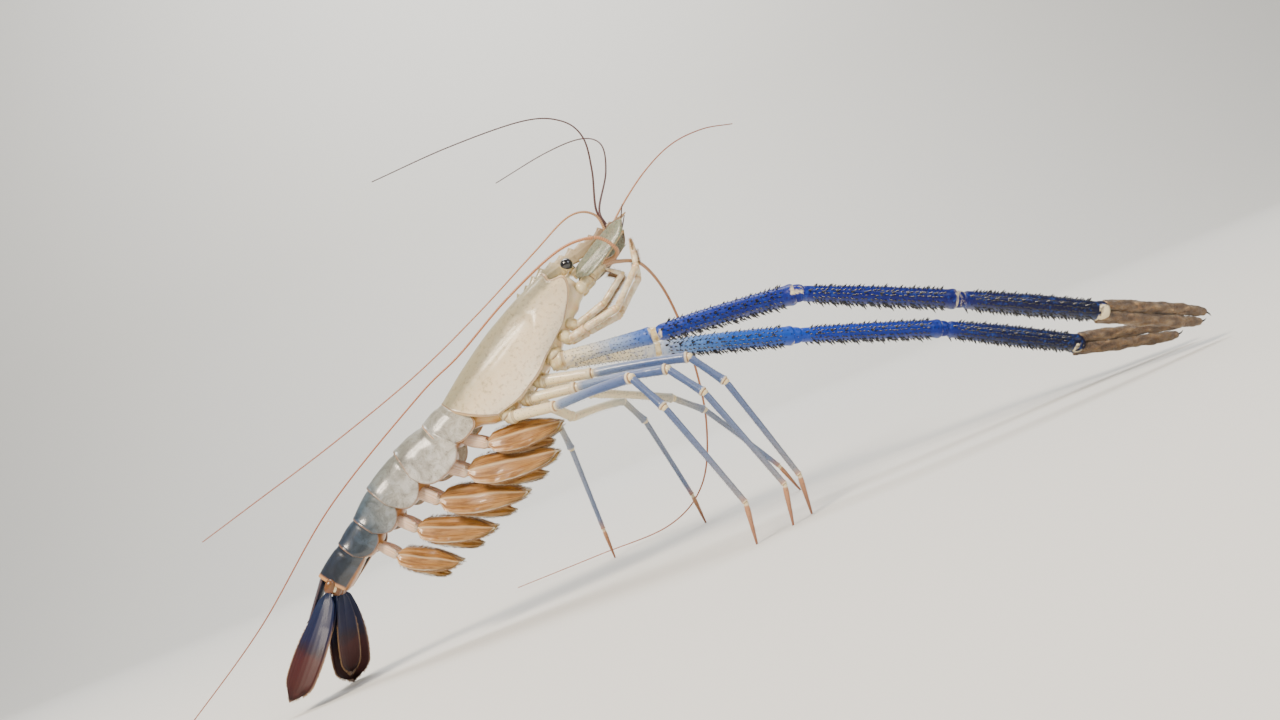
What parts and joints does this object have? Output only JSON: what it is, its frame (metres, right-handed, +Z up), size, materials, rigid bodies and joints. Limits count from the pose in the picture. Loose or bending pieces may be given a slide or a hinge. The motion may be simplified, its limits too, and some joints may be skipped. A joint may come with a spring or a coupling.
{
  "type": "giant river prawn",
  "caption": "Life-size freshwater prawn standing on its walking legs, head raised, with long spined claws stretched forward, long feelers and a fanned tail.",
  "frame": {"origin": "centre of the outline's footprint, on the level of the six soles and the tail tip", "axes": "+X towards the head and claws, along the longest extent; +Y to the animal's left; +Z up"},
  "size_m": [0.6118, 0.2306, 0.2585],
  "materials": {
    "abdomen_plate": "translucent grey shell plates",
    "carapace_shell": "wet glossy cream shell",
    "claw_fur": "brown velvet fur over the fingers",
    "claw_shell": "royal blue to navy spined shell",
    "cornea": "glossy black cornea",
    "feeler": "pinkish orange feelers",
    "leg_shell": "pale blue and cream leg shell",
    "swimmeret_leaf": "amber translucent leaves",
    "tail_fan_shell": "navy black and dark red brown shell"
  },
  "bodies": {
    "root": {"abdomen_1": "abdomen_plate", "abdomen_2": "abdomen_plate", "abdomen_3": "abdomen_plate", "abdomen_4": "abdomen_plate", "abdomen_5": "abdomen_plate", "abdomen_6": "abdomen_plate", "antenna_base_left": "carapace_shell", "antenna_base_right": "carapace_shell", "antenna_scale_left": "carapace_shell", "antenna_scale_right": "carapace_shell", "antenna_whip_left": "feeler", "antenna_whip_right": "feeler", "antennule_left": "feeler", "antennule_right": "feeler", "antennule_whip_left": "feeler", "antennule_whip_right": "feeler", "carapace": "carapace_shell", "cheliped_left_arm": "claw_shell", "cheliped_left_carpus": "claw_shell", "cheliped_left_finger": "claw_fur", "cheliped_left_palm": "claw_shell", "cheliped_right_arm": "claw_shell", "cheliped_right_carpus": "claw_shell", "cheliped_right_finger": "claw_fur", "cheliped_right_palm": "claw_shell", "eye_left": "cornea", "eye_right": "cornea", "leg_3_left_lower": "leg_shell", "leg_3_left_upper": "leg_shell", "leg_3_right_lower": "leg_shell", "leg_3_right_upper": "leg_shell", "leg_4_left_lower": "leg_shell", "leg_4_left_upper": "leg_shell", "leg_4_right_lower": "leg_shell", "leg_4_right_upper": "leg_shell", "leg_5_left_lower": "leg_shell", "leg_5_left_upper": "leg_shell", "leg_5_right_lower": "leg_shell", "leg_5_right_upper": "leg_shell", "maxilliped_left": "leg_shell", "maxilliped_right": "leg_shell", "pleopod_1_left": "swimmeret_leaf", "pleopod_1_right": "swimmeret_leaf", "pleopod_2_left": "swimmeret_leaf", "pleopod_2_right": "swimmeret_leaf", "pleopod_3_left": "swimmeret_leaf", "pleopod_3_right": "swimmeret_leaf", "pleopod_4_left": "swimmeret_leaf", "pleopod_4_right": "swimmeret_leaf", "pleopod_5_left": "swimmeret_leaf", "pleopod_5_right": "swimmeret_leaf", "small_claw_leg_left": "leg_shell", "small_claw_leg_right": "leg_shell", "telson": "tail_fan_shell", "thorax_underside": "carapace_shell", "uropod_inner_left": "tail_fan_shell", "uropod_inner_right": "tail_fan_shell", "uropod_outer_left": "tail_fan_shell", "uropod_outer_right": "tail_fan_shell"}
  },
  "joints": []
}
